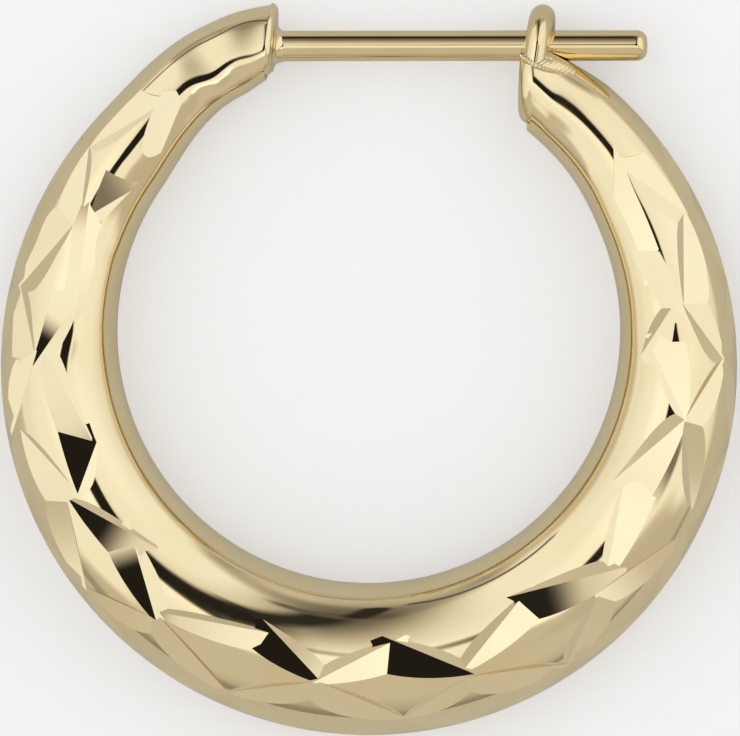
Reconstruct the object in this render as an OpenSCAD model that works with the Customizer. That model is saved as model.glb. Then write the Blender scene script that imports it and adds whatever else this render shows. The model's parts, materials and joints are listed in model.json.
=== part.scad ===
// Tapered creole hoop earring with a diamond-cut lozenge pattern.
// A thick hollow hoop is closed at both ends. A straight ear post is soldered to its
// left end, spans the gap for the ear and lies in a small wire catch that is soldered
// to its right end. All three are one soldered piece of gold.
// The hoop lies on its side, as it rests by itself: X runs along the ear post, Y from
// the thick bottom of the hoop to the post, and Z up out of the surface it lies on.
// Hoop angles count from +X round the hoop's pole, section angles from the outermost
// line of the tube over its front.

/* [Hoop] */
// Outer diameter of the hoop
hoop_d = 24; // [23.5:0.5:25]
// Diameter of the hole inside the hoop
hole_d = 16.4; // [15.6:0.2:17.4]
// How far the hole's centre lies above the outer circle's, which makes the taper
taper_shift = 1.15; // [1.05:0.05:1.3]
// Front-to-back depth of the tube at the bottom of the hoop
bottom_depth = 4.3; // [3.8:0.1:4.4]

/* [Ends] */
// Hoop angle of the left end, which carries the post
left_angle = 106.9; // [105:0.1:109]
// Hoop angle of the right end, which carries the catch
right_angle = 420.3; // [418:0.1:422]
// Rounding of the left end's rim
left_rim = 0.25; // [0.1:0.05:0.4]
// Rounding of the right end's rim
right_rim = 0.45; // [0.2:0.05:0.6]

/* [Diamond cuts] */
// Width of the cuts, as a share of their charted width
cut_width = 1; // [0.8:0.05:1.1]
// How deep the cuts still are where they meet
node_sink = 0.015; // [0.01:0.005:0.04]

/* [Ear post] */
// Diameter of the post
post_d = 0.99; // [0.9:0.01:1.1]
// Distance of the post's axis from the middle of the hoop's outline
post_y = 10.5; // [10.4:0.01:10.6]
// Where the post's tip ends
post_tip_x = 9.08; // [8.5:0.02:9.4]
// Rounding of the tip's edge
tip_round = 0.33; // [0.1:0.01:0.4]
// Radius of the solder fillet round the post's root
root_fillet = 0.32; // [0.1:0.01:0.4]

/* [Catch loop] */
// Diameter of the catch's wire
wire_d = 0.8; // [0.75:0.01:0.85]
// Gap between the post and the catch
catch_clearance = 0.06; // [0.05:0.01:0.08]
// Gap between the post and its groove
catch_gap = 0.04; // [0.03:0.01:0.06]
// Where the catch stands along the post
catch_x = 5.55; // [5.45:0.01:5.65]
// How far the catch leans away from the gap
catch_lean = 8; // [4:1:10]

/* [Hidden] */

// The pole lies between the two circles' centres, above the middle of the outline.
pole_y = 0.544;
outer_shift = -0.4 * taper_shift;
inner_shift = 0.6 * taper_shift;

// Rings along the hoop, and sides of its section
rings = 70;
sides = 26;
$fn = 24;
rim_rings = 3;
depth_power = 0.8;

// Post and catch, and how deep their roots and the solder's edge reach into the hoop
post_r = post_d / 2;
wire_r = wire_d / 2;
loop_r = post_r + catch_clearance + wire_r;
root_depth = 0.8;
foot_depth = 0.5;
solder_sink = 0.03;

// How far a cut's wedge runs on past its valley's ends, how many times wider than its
// facets its walls are, and how high it stands
overrun = 0.8;
wedge_reach = 3;
wedge_height = 1.2;

// Where the two ends leave their circles: the angle at which each change starts, the
// angle at which it is complete, and what it adds to the radius
START = 0;
FULL = 1;
ADDS = 2;
OUTER_BENDS = [
    [138, 118, 0.34],
    [113, 103, -0.15],
    [409, 415, -0.12],
];
INNER_BENDS = [
    [142, 118, 0.50],
    [116, 107, 0.20],
    [385, 405, 0.10],
];
// How far the outer line runs ahead of the hole's at the two oblique ends
LEADS = [
    [125, 107, -2.45],
    [400, 420, 3.65],
];

// The cut pattern, charted on a view of the front: a row for each cut, with the places
// of its valley's two ends in pixels right and down, counter-clockwise round the hoop,
// and the widths of its two facets in millimetres. The cuts of the crest zigzag along
// the hole's side, and the side cuts along the outer side.
FROM_X = 0;
FROM_Y = 1;
TO_X = 2;
TO_Y = 3;
OUTER_FACET = 4;
INNER_FACET = 5;
CREST_CUTS = [
    [162, 94, 161, 151, 0.42, 0.50],
    [123, 196, 89, 216, 0.55, 0.28],
    [87, 219, 77, 300, 0.45, 0.45],
    [76, 304, 41, 353, 0.56, 0.33],
    [45, 352, 82, 420, 0.50, 0.45],
    [97, 442, 78, 494, 0.75, 0.33],
    [68, 498, 141, 538, 0.56, 0.34],
    [133, 539, 155, 617, 0.57, 0.56],
    [169, 614, 254, 629, 0.46, 0.30],
    [273, 629, 317, 677, 0.60, 0.44],
    [319, 679, 389, 642, 0.60, 0.39],
    [390, 638, 466, 670, 0.73, 0.39],
    [466, 666, 518, 600, 0.58, 0.40],
    [529, 590, 606, 572, 0.72, 0.42],
    [607, 569, 621, 489, 0.75, 0.30],
    [620, 473, 683, 420, 0.72, 0.44],
    [683, 417, 653, 354, 0.71, 0.30],
    [646, 344, 669, 310, 0.58, 0.26],
    [681, 316, 640, 267, 0.50, 0.33],
    [640, 264, 618, 167, 0.58, 0.30],
];
SIDE_CUTS = [
    [151, 111, 94, 144, 0.56, 0.28],
    [88, 151, 81, 213, 0.55, 0.25],
    [71, 227, 20, 285, 0.60, 0.33],
    [20, 287, 33, 348, 0.55, 0.25],
    [36, 353, 11, 433, 0.50, 0.33],
    [23, 433, 67, 480, 0.75, 0.25],
    [67, 501, 85, 587, 0.71, 0.25],
    [88, 589, 149, 616, 0.56, 0.20],
    [160, 617, 226, 691, 0.56, 0.30],
    [230, 692, 311, 682, 0.50, 0.32],
    [320, 682, 403, 717, 0.65, 0.34],
    [406, 717, 464, 679, 0.45, 0.30],
    [468, 676, 567, 664, 0.57, 0.40],
    [568, 662, 597, 598, 0.60, 0.42],
    [599, 591, 680, 536, 0.50, 0.30],
    [691, 506, 683, 423, 0.52, 0.35],
    [684, 419, 722, 359, 0.50, 0.28],
    [722, 358, 684, 307, 0.50, 0.38],
    [683, 300, 683, 215, 0.60, 0.42],
    [683, 211, 629, 174, 0.55, 0.48],
];
// On that view, the outline's width and the pole's place in pixels, and how far the
// hoop is turned about the upright
chart_width = 738.6;
chart_pole = [368.4, 352];
chart_yaw = 4.2;
chart_unit = hoop_d / chart_width;

// The zigzag beside the outer line: the hoop angles where it meets the side cuts, how far
// it runs on at the pattern's two ends, the section angles between which it runs, and how
// far each cut stops short of its neighbours
EDGE_TURNS = [143, 169, 193, 220, 248, 276, 303, 332, 359, 384];
edge_run_on = 13;
edge_section = 37;
line_section = 3;
edge_stop = 1;
EDGE_FACETS = [0.40, 0.30];

function ease(t) = let (u = max(0, min(1, t))) u * u * (3 - 2 * u);
function bend(table, a) =
    [for (row = table) row[ADDS] * ease((a - row[START]) / (row[FULL] - row[START]))]
    * [for (row = table) 1];

// Radius from the pole to a circle whose centre lies shift above it
function circle_r(d, shift, a) =
    shift * sin(a) + sqrt(pow(d / 2, 2) - pow(shift * cos(a), 2));
function outer_r(a) = circle_r(hoop_d, outer_shift, a) + bend(OUTER_BENDS, a);
function inner_r(a) = circle_r(hole_d, inner_shift, a) + bend(INNER_BENDS, a);
function polar(r, a) = [r * cos(a), r * sin(a), 0];

function outer_point(a) = let (b = a + bend(LEADS, a)) polar(outer_r(b), b);
function inner_point(a) = let (b = a - bend(LEADS, a)) polar(inner_r(b), b);
function centre(a) = (outer_point(a) + inner_point(a)) / 2;
function half_width(a) = norm(outer_point(a) - inner_point(a)) / 2;
// Length of one degree of hoop angle along the middle of the tube
function turn_arc(a) = norm(centre(a)) * PI / 180;
depth_scale = bottom_depth / 2 / pow(half_width(270), depth_power);
function half_depth(a) = depth_scale * pow(half_width(a), depth_power);

// How far the hoop leans towards its thin ends. It rests on the catch's side and on the
// tube's flank, somewhere below the thin ends, along the steepest line between the two.
// The height of its middle over the surface follows.
rest_lean = atan(max([for (a = [150 : 1 : 390])
    (half_depth(a) - loop_r - wire_r) / (post_y - pole_y - centre(a)[1])]));
rest_height = post_y * sin(rest_lean) + (loop_r + wire_r) * cos(rest_lean);

// A point of the tube's skin, and its outward normal
function skin(a, s) =
    let (arm = (outer_point(a) - inner_point(a)) / 2)
    centre(a) + arm * cos(s) + [0, 0, half_depth(a) * sin(s)];
function unit(v) = v / norm(v);
function skin_normal(a, s) =
    let (h = 0.01)
    unit(cross(skin(a, s + h) - skin(a, s - h), skin(a - h, s) - skin(a + h, s)));

// The hoop angle and section angle of the skin's point that is seen at a charted place.
// Its height over the hoop's plane shifts it sideways, and is found in a few steps.
function seen(x, y, height = 0, steps = 6) =
    let (
        right = ((x - chart_pole[0]) * chart_unit + height * sin(chart_yaw)) / cos(chart_yaw),
        up = (chart_pole[1] - y) * chart_unit,
        turn = atan2(up, right),
        a = turn < left_angle ? turn + 360 : turn,
        share = (norm([right, up]) - norm(centre(a))) / half_width(a),
        s = acos(max(-1, min(1, share)))
    )
    steps == 0 ? [a, s] : seen(x, y, half_depth(a) * sin(s), steps - 1);

// One ring of the tube, moved along its own plane's normal and drawn in by inset
function ring(a, along, inset) =
    let (
        arm = unit(outer_point(a) - inner_point(a)),
        ahead = [-arm[1], arm[0], 0],
        wide = half_width(a) - inset,
        deep = half_depth(a) - inset
    )
    [for (i = [0 : sides - 1])
        let (s = 360 * i / sides)
        centre(a) + ahead * along + arm * wide * cos(s) + [0, 0, deep * sin(s)]];

function rim(a, radius, way) =
    [for (i = [1 : rim_rings])
        let (t = 90 * i / rim_rings)
        ring(a, way * radius * (sin(t) - 1), radius * (1 - cos(t)))];

function reversed(list) = [for (i = [len(list) - 1 : -1 : 0]) list[i]];

// Where the post leaves the left end's face, and how far that face leans
left_out = outer_point(left_angle);
left_in = inner_point(left_angle);
face_slope = (left_out[0] - left_in[0]) / (left_out[1] - left_in[1]);
face_lean = atan(face_slope);
face_x = left_in[0] + face_slope * (post_y - pole_y - left_in[1]);

// Straight length of the post, from its root inside the hoop to where its tip rounds
post_reach = post_tip_x - tip_round - face_x + root_depth;

// The angles at which the rounding of each rim begins
left_start = left_angle + left_rim / turn_arc(left_angle);
right_start = right_angle - right_rim / turn_arc(right_angle);

module tube() {
    stack = concat(
        reversed(rim(left_angle, left_rim, -1)),
        [for (i = [0 : rings])
            ring(left_start + (right_start - left_start) * i / rings, 0, 0)],
        rim(right_angle, right_rim, 1)
    );
    last = len(stack) - 1;
    quads = [for (k = [0 : last - 1], i = [0 : sides - 1])
        let (j = (i + 1) % sides)
        [k * sides + i, k * sides + j, (k + 1) * sides + j, (k + 1) * sides + i]];
    polyhedron(
        points = [for (one_ring = stack, p = one_ring) p],
        faces = concat(
            quads,
            [[for (i = [sides - 1 : -1 : 0]) i]],
            [[for (i = [0 : sides - 1]) last * sides + i]]
        )
    );
}

// One cut: a blunt wedge whose edge runs just below the skin, from one pair of hoop and
// section angles to the next. facets holds the widths of its outer and inner facet.
module cut(from, to, facets) {
    one = skin(from[0], from[1]) - node_sink * skin_normal(from[0], from[1]);
    two = skin(to[0], to[1]) - node_sink * skin_normal(to[0], to[1]);
    middle = (from + to) / 2;
    a = middle[0];
    s = middle[1];
    valley = (one + two) / 2;
    along = unit(two - one);
    // The way across the cut, in degrees of hoop and section for one millimetre
    section_arc = half_width(a) * PI / 180;
    run = [(to[0] - from[0]) * turn_arc(a), (to[1] - from[1]) * section_arc];
    across = unit([run[1], -run[0]]);
    step = [across[0] / turn_arc(a), across[1] / section_arc];
    outwards = (step[1] < 0 ? 1 : -1) * cut_width * step;
    outer_edge = skin(a + outwards[0] * facets[0], s + outwards[1] * facets[0]);
    inner_edge = skin(a - outwards[0] * facets[1], s - outwards[1] * facets[1]);
    wedge(
        one - along * overrun,
        two + along * overrun,
        valley + (outer_edge - valley) * wedge_reach,
        valley + (inner_edge - valley) * wedge_reach,
        valley + skin_normal(a, s) * wedge_height
    );
}

// A wedge with its edge between start and end, whose two walls rise to outer and inner
module wedge(start, end, outer, inner, top) {
    polyhedron(
        points = [start, end, outer, inner, top],
        faces = [[0, 2, 1], [1, 3, 0], [0, 4, 2], [2, 4, 1], [3, 4, 0], [1, 4, 3]]
    );
}

// The charted cuts of one table
module charted_cuts(table) {
    for (row = table)
        cut(
            seen(row[FROM_X], row[FROM_Y]),
            seen(row[TO_X], row[TO_Y]),
            [row[OUTER_FACET], row[INNER_FACET]]
        );
}

// Where the zigzag comes nearest to the outer line: halfway between the places where it
// meets the side cuts, and beyond the first and the last of them
function line_turn(i) =
    i == 0 ? EDGE_TURNS[0] - edge_run_on
    : i == len(EDGE_TURNS) ? EDGE_TURNS[i - 1] + edge_run_on
    : (EDGE_TURNS[i - 1] + EDGE_TURNS[i]) / 2;

// The cuts beside the outer line, two for each place where they meet the side cuts
module edge_cuts() {
    for (i = [0 : len(EDGE_TURNS) - 1]) {
        cut(
            [line_turn(i) + edge_stop, line_section],
            [EDGE_TURNS[i] - edge_stop, edge_section],
            EDGE_FACETS
        );
        cut(
            [EDGE_TURNS[i] + edge_stop, edge_section],
            [line_turn(i + 1) - edge_stop, line_section],
            EDGE_FACETS
        );
    }
}

module hoop_body() {
    difference() {
        tube();
        for (side = [1, -1])
            scale([1, 1, side]) {
                charted_cuts(CREST_CUTS);
                charted_cuts(SIDE_CUTS);
                edge_cuts();
            }
    }
}

// Half the post's outline, from its root to its rounded tip
module post_outline() {
    square([post_r, post_reach]);
    square([post_r - tip_round, post_reach + tip_round]);
    intersection() {
        square([post_r, post_reach + tip_round]);
        translate([post_r - tip_round, post_reach])
            circle(tip_round);
    }
}

// Half the outline of the hollow curve of solder round the root
module solder_outline() {
    difference() {
        translate([0, -root_depth])
            square([post_r + root_fillet, root_depth + root_fillet]);
        translate([post_r + root_fillet, root_fillet])
            circle(root_fillet);
    }
}

module ear_post() {
    translate([face_x - root_depth, post_y, 0])
        rotate([0, 90, 0])
            rotate_extrude()
                post_outline();
    translate([face_x - solder_sink, post_y, 0])
        rotate([0, 90, -face_lean])
            rotate_extrude()
                solder_outline();
}

// The catch stands over the post, its feet sunk in the right end
module catch_loop() {
    translate([catch_x, post_y, 0])
        rotate([0, 0, -catch_lean]) {
            rotate([0, 90, 0])
                rotate_extrude(angle = 180)
                    translate([loop_r, 0])
                        circle(wire_r);
            for (side = [1, -1])
                translate([0, 0, side * loop_r]) {
                    rotate([90, 0, 0])
                        cylinder(h = foot_depth, r = wire_r);
                    translate([0, -foot_depth, 0])
                        sphere(wire_r);
                }
        }
}

// The post lies in this groove in the top of the right end
module groove() {
    translate([0, post_y, 0])
        rotate([0, 90, 0])
            cylinder(h = hoop_d / 2, r = post_r + catch_gap);
}

// The cuts take a little off the width, so the earring is brought back to its diameter.
module creole_hoop() {
    color("#EBD59F")
        translate([0, 0, rest_height])
            rotate([-rest_lean, 0, 0])
                resize([hoop_d, 0, 0], auto = true) {
                    difference() {
                        translate([0, pole_y, 0])
                            hoop_body();
                        groove();
                    }
                    ear_post();
                    catch_loop();
                }
}

creole_hoop();
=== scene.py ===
"""Looks of a diamond-cut creole hoop earring, lying on its side on a pale table.

Everything is in metres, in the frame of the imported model. The earring is worked out in
the hoop's own frame, in millimetres, with X along the ear post, Y up through the gap and
Z towards the viewer, and Rest places it as it lies.
"""

import json
import logging
import math
from dataclasses import dataclass
from enum import Enum

import bmesh
import bpy
import numpy as np
from mathutils import Matrix, Vector

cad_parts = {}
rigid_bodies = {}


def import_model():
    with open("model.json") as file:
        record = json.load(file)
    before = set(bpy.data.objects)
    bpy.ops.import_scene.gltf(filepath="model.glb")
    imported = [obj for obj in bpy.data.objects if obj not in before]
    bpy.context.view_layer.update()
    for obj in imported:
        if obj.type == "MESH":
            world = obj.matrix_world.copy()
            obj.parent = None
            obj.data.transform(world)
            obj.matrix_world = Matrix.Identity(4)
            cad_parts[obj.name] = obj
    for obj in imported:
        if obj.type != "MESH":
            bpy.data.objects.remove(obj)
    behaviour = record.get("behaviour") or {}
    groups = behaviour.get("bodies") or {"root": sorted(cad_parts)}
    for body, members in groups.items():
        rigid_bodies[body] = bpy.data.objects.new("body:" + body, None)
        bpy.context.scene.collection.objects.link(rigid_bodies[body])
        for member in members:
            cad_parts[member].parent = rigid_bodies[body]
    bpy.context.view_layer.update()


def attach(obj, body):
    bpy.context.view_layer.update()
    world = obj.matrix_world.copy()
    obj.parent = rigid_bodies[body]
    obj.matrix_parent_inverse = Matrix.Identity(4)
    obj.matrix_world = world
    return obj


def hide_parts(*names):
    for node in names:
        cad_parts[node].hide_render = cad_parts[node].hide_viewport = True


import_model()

NODE = "creole_hoop"
IMAGE_WIDTH, IMAGE_HEIGHT = 740, 736
MM = 0.001
# Turns a point of the front to the one behind it
MIRROR = (1, 1, -1)
# Numbers of the skin's, the cuts' and the groove's faces and finishes
SKIN_MARK, CUT_MARK, GROOVE_MARK = 0, 1, 2
# Height of the ear post's middle line over the hoop's middle, in mm
POST_Y = 10.5
# Degrees between the points that a slope of the skin is taken from
SLOPE_STEP = 0.01
# Sockets of a Mix node, which share their names: numbers in and out, and colours in and out
NUMBER_A, NUMBER_B, NUMBER_OUT = 2, 3, 0
COLOUR_A, COLOUR_B, COLOUR_OUT = 6, 7, 2

log = logging.getLogger("creole")

Array = np.ndarray


# Small tools

def linear(colour: str) -> tuple[float, float, float, float]:
    """Turns an sRGB hex colour to linear light.

    Args:
        colour: six hex digits after a hash sign.

    Returns:
        Red, green, blue and an alpha of 1.
    """
    parts = [int(colour[i:i + 2], 16) / 255 for i in (1, 3, 5)]
    return tuple(c / 12.92 if c <= 0.04045 else ((c + 0.055) / 1.055) ** 2.4 for c in parts) + (1.0,)


def ease(t: Array) -> Array:
    """Goes smoothly from 0 at t = 0 to 1 at t = 1: t squared times (3 - 2t)."""
    t = np.clip(t, 0, 1)
    return t * t * (3 - 2 * t)


def unit(v: Array) -> Array:
    """Scales each vector along the last axis to a length of 1."""
    return v / np.linalg.norm(v, axis=-1, keepdims=True)


def spin(points: Array, angle: float) -> Array:
    """Turns points about Z by an angle in radians, counter-clockwise seen from above.

    Args:
        points: X, Y and Z along the last axis.
        angle: how far.

    Returns:
        The turned points.
    """
    c, s = math.cos(angle), math.sin(angle)
    x, y, z = np.moveaxis(points, -1, 0)
    return np.stack([x * c - y * s, x * s + y * c, z], -1)


def clear_tree(owner: bpy.types.ID) -> bpy.types.NodeTree:
    """Switches on the nodes of a material or a world, and empties them.

    Args:
        owner: the material or world.

    Returns:
        Its empty node tree.
    """
    owner.use_nodes = True
    owner.node_tree.nodes.clear()
    return owner.node_tree


def add_node(tree: bpy.types.NodeTree, kind: str, inputs: dict | None = None,
             **settings: object) -> bpy.types.Node:
    """Adds one shader node.

    Args:
        tree: the node tree that it goes into.
        kind: the node's type, without its ShaderNode prefix.
        inputs: a value or an output socket for each named or numbered input.
        settings: properties of the node itself.

    Returns:
        The new node.
    """
    node = tree.nodes.new("ShaderNode" + kind)
    for name, value in settings.items():
        setattr(node, name, value)
    for key, value in (inputs or {}).items():
        if isinstance(value, bpy.types.NodeSocket):
            tree.links.new(value, node.inputs[key])
        else:
            node.inputs[key].default_value = value
    return node


def grid_faces(rows: int, columns: int) -> list:
    """Numbers the quads of a grid whose columns run round and meet.

    Args:
        rows: how many rings the grid has.
        columns: how many points a ring has.

    Returns:
        Quads, four point numbers each.
    """
    r = np.arange(rows - 1)[:, None]
    c = np.arange(columns)[None, :]
    nxt = (c + 1) % columns
    up = r + 1
    quads = np.stack([r * columns + c, up * columns + c, up * columns + nxt, r * columns + nxt], -1)
    return quads.reshape(-1, 4).tolist()


def tube_faces(rows: int, columns: int) -> list:
    """Numbers the faces of a closed tube: the quads between its rings, and its two ends.

    Args:
        rows: how many rings the tube has.
        columns: how many points a ring has.

    Returns:
        Quads and two many-sided end faces.
    """
    last = (rows - 1) * columns
    ends = [list(range(columns)), list(range(last + columns - 1, last - 1, -1))]
    return grid_faces(rows, columns) + ends


def circle_turns(sides: int) -> Array:
    """Angles of evenly spaced points of a circle, in radians from 0."""
    return np.arange(sides) * 2 * math.pi / sides


def make_mesh(name: str, points: Array, faces: list) -> bpy.types.Object:
    """Makes a mesh object at the origin from points in metres.

    Args:
        name: name of the object and its mesh.
        points: one row for each point.
        faces: point numbers of each face, counter-clockwise seen from outside.

    Returns:
        The linked object.
    """
    mesh = bpy.data.meshes.new(name)
    mesh.from_pydata(points.reshape(-1, 3).tolist(), [], [list(f) for f in faces])
    mesh.update()
    piece = bpy.data.objects.new(name, mesh)
    bpy.context.scene.collection.objects.link(piece)
    return piece


def read(items: bpy.types.bpy_prop_collection, name: str, size: int = 1, kind: type = float) -> Array:
    """Reads one property of all items of a mesh, as rows of size numbers each.

    Args:
        items: its points, corners or faces.
        name: the property.
        size: how many numbers an item has.
        kind: the type of these numbers.

    Returns:
        One row for each item, or one number where size is 1.
    """
    values = np.empty(len(items) * size, dtype=kind)
    items.foreach_get(name, values)
    return values.reshape(-1, size) if size > 1 else values


# Form

@dataclass(frozen=True)
class Rest:
    """How the earring lies: leaned towards its thin ends, on the catch's side and its flank."""

    lean: float = math.radians(2.289)
    height: float = 1.7722
    fit: float = 0.9990

    def place(self, points: Array) -> Array:
        """Takes points of the hoop's own frame, in mm, to where they lie, in metres.

        The points are shrunk by fit about the hoop's middle, turned by -lean about X and
        lifted by height, so no smooth curve stands out of the box of the faceted solid.
        """
        return (self.turn(points * self.fit) + [0, 0, self.height]) * MM

    def turn(self, normals: Array) -> Array:
        """Turns directions of the hoop's own frame as the earring lies.

        Args:
            normals: X, Y and Z along the last axis.

        Returns:
            The turned directions.
        """
        c, s = math.cos(self.lean), math.sin(self.lean)
        x, y, z = np.moveaxis(normals, -1, 0)
        return np.stack([x, y * c + z * s, -y * s + z * c], -1)


@dataclass(frozen=True)
class Bend:
    """A smooth change of the tube: the hoop angles where it starts and is full, and how much."""

    start: float
    full: float
    adds: float

    def at(self, a: Array) -> Array:
        """What it adds at hoop angle a, in degrees."""
        return self.adds * ease((a - self.start) / (self.full - self.start))


@dataclass(frozen=True)
class HoopShape:
    """The tapered tube, between two circles whose centres are apart along Y.

    A point of its skin has a hoop angle, in degrees from +X round the pole, and a section
    angle, in degrees from the outermost line of the tube over its front.

    Attributes:
        taper_shift: how far apart the centres are; outer_share and hole_share divide it.
        pole_y: height of the pole, which hoop angles turn round.
        depth_power: how the depth follows the width along the hoop.
        leads: degrees by which the outer outline runs ahead of the hole's at the ends.
        depth_bends: changes of the width that the depth follows.
        skews: shifts of the section's highest line towards the hole.
        ripple: depth of the polisher's ripples in that shift, before ripple_end.
        ripple_angle: length of a ripple, as an angle.
        steps: how many times locate improves its guess.
        degree_arc: about the length of a degree of hoop angle.
        past_ends: how far beyond the ends a guess may go, and before_left a first one.
    """

    hoop_d: float = 24.0
    hole_d: float = 16.4
    taper_shift: float = 1.15
    outer_share: float = -0.4
    hole_share: float = 0.6
    bottom_depth: float = 4.29
    bottom_angle: float = 270.0
    pole_y: float = 0.544
    depth_power: float = 0.8
    left_angle: float = 106.9
    right_angle: float = 420.3
    left_rim: float = 0.25
    right_rim: float = 0.45
    outer_bends: tuple[Bend, ...] = (Bend(138, 118, 0.31), Bend(113, 103, -0.15), Bend(407, 416, -0.12))
    inner_bends: tuple[Bend, ...] = (Bend(142, 118, 0.50), Bend(116, 107, 0.20), Bend(385, 405, 0.10))
    leads: tuple[Bend, ...] = (Bend(125, 107, -2.45), Bend(400, 420, 3.65))
    depth_bends: tuple[Bend, ...] = (Bend(142, 114, -0.25),)
    skews: tuple[Bend, ...] = (
        Bend(129, 118, 0.20), Bend(412, 420, -0.14),
        Bend(156, 163, 0.16), Bend(175, 186, -0.16), Bend(356, 366, 0.12), Bend(390, 400, -0.12),
    )
    ripple: float = 0.04
    ripple_angle: float = 9.0
    ripple_end: float = 130.0
    ripple_fade: float = 6.0
    steps: int = 8
    degree_arc: float = 0.175
    past_ends: float = 3.0
    before_left: float = 20.0

    @staticmethod
    def circle(d: float, shift: float, a: Array) -> Array:
        """Radius from the pole to a circle of diameter d whose centre lies shift above it."""
        t = np.radians(a)
        return shift * np.sin(t) + np.sqrt((d / 2) ** 2 - (shift * np.cos(t)) ** 2)

    def edge(self, a: Array, outer: bool) -> Array:
        """A point of the outer or the hole's outline, ahead or behind by the ends' lead.

        Args:
            a: hoop angles in degrees.
            outer: True for the outer outline, False for the hole's.

        Returns:
            Points with Z = 0, in mm.
        """
        lead = sum(b.at(a) for b in self.leads)
        b = a + lead if outer else a - lead
        shift = (self.outer_share if outer else self.hole_share) * self.taper_shift
        bends = self.outer_bends if outer else self.inner_bends
        r = self.circle(self.hoop_d if outer else self.hole_d, shift, b) + sum(k.at(b) for k in bends)
        t = np.radians(b)
        return np.stack([r * np.cos(t), r * np.sin(t) + self.pole_y, 0 * t], -1)

    def centre(self, a: Array) -> Array:
        """Middle of the section."""
        return (self.edge(a, True) + self.edge(a, False)) / 2

    def arm(self, a: Array) -> Array:
        """From the section's middle to its outermost point."""
        return (self.edge(a, True) - self.edge(a, False)) / 2

    def half_depth(self, a: Array) -> Array:
        """Half the depth from front to back: the even taper's half width to a power, scaled.

        Args:
            a: hoop angles in degrees.

        Returns:
            Half depths in mm.
        """
        at = np.append(a, self.bottom_angle)
        outer = self.circle(self.hoop_d, self.outer_share * self.taper_shift, at)
        half = (outer - self.circle(self.hole_d, self.hole_share * self.taper_shift, at)) / 2
        even = half[:-1].reshape(np.shape(a)) + sum(bend.at(a) for bend in self.depth_bends)
        return self.bottom_depth / 2 * (even / half[-1]) ** self.depth_power

    def skew(self, a: Array) -> Array:
        """How far the section's highest line lies inwards, as a share of the half width.

        Args:
            a: hoop angles in degrees.

        Returns:
            The shares, negative where it lies outwards.
        """
        whole = sum(bend.at(a) for bend in self.skews)
        wave = self.ripple * np.sin(np.radians(360 / self.ripple_angle * a))
        return whole + wave * (whole > 0) * ease((self.ripple_end - a) / self.ripple_fade)

    def skin(self, a: Array, s: Array) -> Array:
        """The skin at hoop angle a and section angle s.

        It is centre + arm times (cos s - skew times sin s squared) + half depth times sin s.

        Args:
            a: hoop angles in degrees.
            s: section angles in degrees.

        Returns:
            Points in mm.
        """
        t = np.radians(s)
        up = np.stack([0 * a, 0 * a, self.half_depth(a) * np.sin(t)], -1)
        return self.centre(a) + self.arm(a) * (np.cos(t) - self.skew(a) * np.sin(t) ** 2)[..., None] + up

    def normal(self, a: Array, s: Array) -> Array:
        """The skin's outward normal, from the cross product of its two slopes.

        Args:
            a: hoop angles in degrees.
            s: section angles in degrees.

        Returns:
            Directions of length 1.
        """
        round_it = self.skin(a, s + SLOPE_STEP) - self.skin(a, s - SLOPE_STEP)
        back = self.skin(a - SLOPE_STEP, s) - self.skin(a + SLOPE_STEP, s)
        return unit(np.cross(round_it, back))

    def turn_arc(self, a: float) -> float:
        """Length of one degree of hoop angle along the middle of the tube."""
        flat = self.centre(np.array(float(a))) - np.array([0, self.pole_y, 0])
        return float(np.linalg.norm(flat)) * math.pi / 180

    def locate(self, points: Array) -> tuple[Array, Array]:
        """Finds the hoop and section angles of points near the skin.

        The hoop angle is improved in steps, until the section's plane at that angle goes
        through the point: the part of (point - centre) ahead of the arm becomes zero.

        Args:
            points: one row each, in mm.

        Returns:
            Their hoop angles and section angles.
        """
        a = np.degrees(np.arctan2(points[:, 1] - self.pole_y, points[:, 0]))
        a = np.where(a < self.left_angle - self.before_left, a + 360, a)
        for _ in range(self.steps):
            a = np.clip(a, self.left_angle - self.past_ends, self.right_angle + self.past_ends)
            arm = unit(self.arm(a))
            ahead = np.stack([-arm[:, 1], arm[:, 0], 0 * a], -1)
            a = a + ((points - self.centre(a)) * ahead).sum(-1) / self.degree_arc
        a = np.clip(a, self.left_angle, self.right_angle)
        arm = self.arm(a)
        half = np.linalg.norm(arm, axis=-1)
        across = ((points - self.centre(a)) * arm).sum(-1) / half ** 2
        up = points[:, 2] / self.half_depth(a)
        return a, np.degrees(np.arctan2(up, across + self.skew(a) * up ** 2))


@dataclass(frozen=True)
class Cut:
    """One diamond cut.

    Attributes:
        start: hoop and section angle of the valley's one end.
        end: those of its other end.
        outer_facet: width of the facet on the outer side, in mm.
        inner_facet: width of the facet on the inner side.
        start_sink: how far the valley's start lies below the skin.
        end_sink: how far its end does.
    """

    start: tuple[float, float]
    end: tuple[float, float]
    outer_facet: float
    inner_facet: float
    start_sink: float
    end_sink: float


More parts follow.
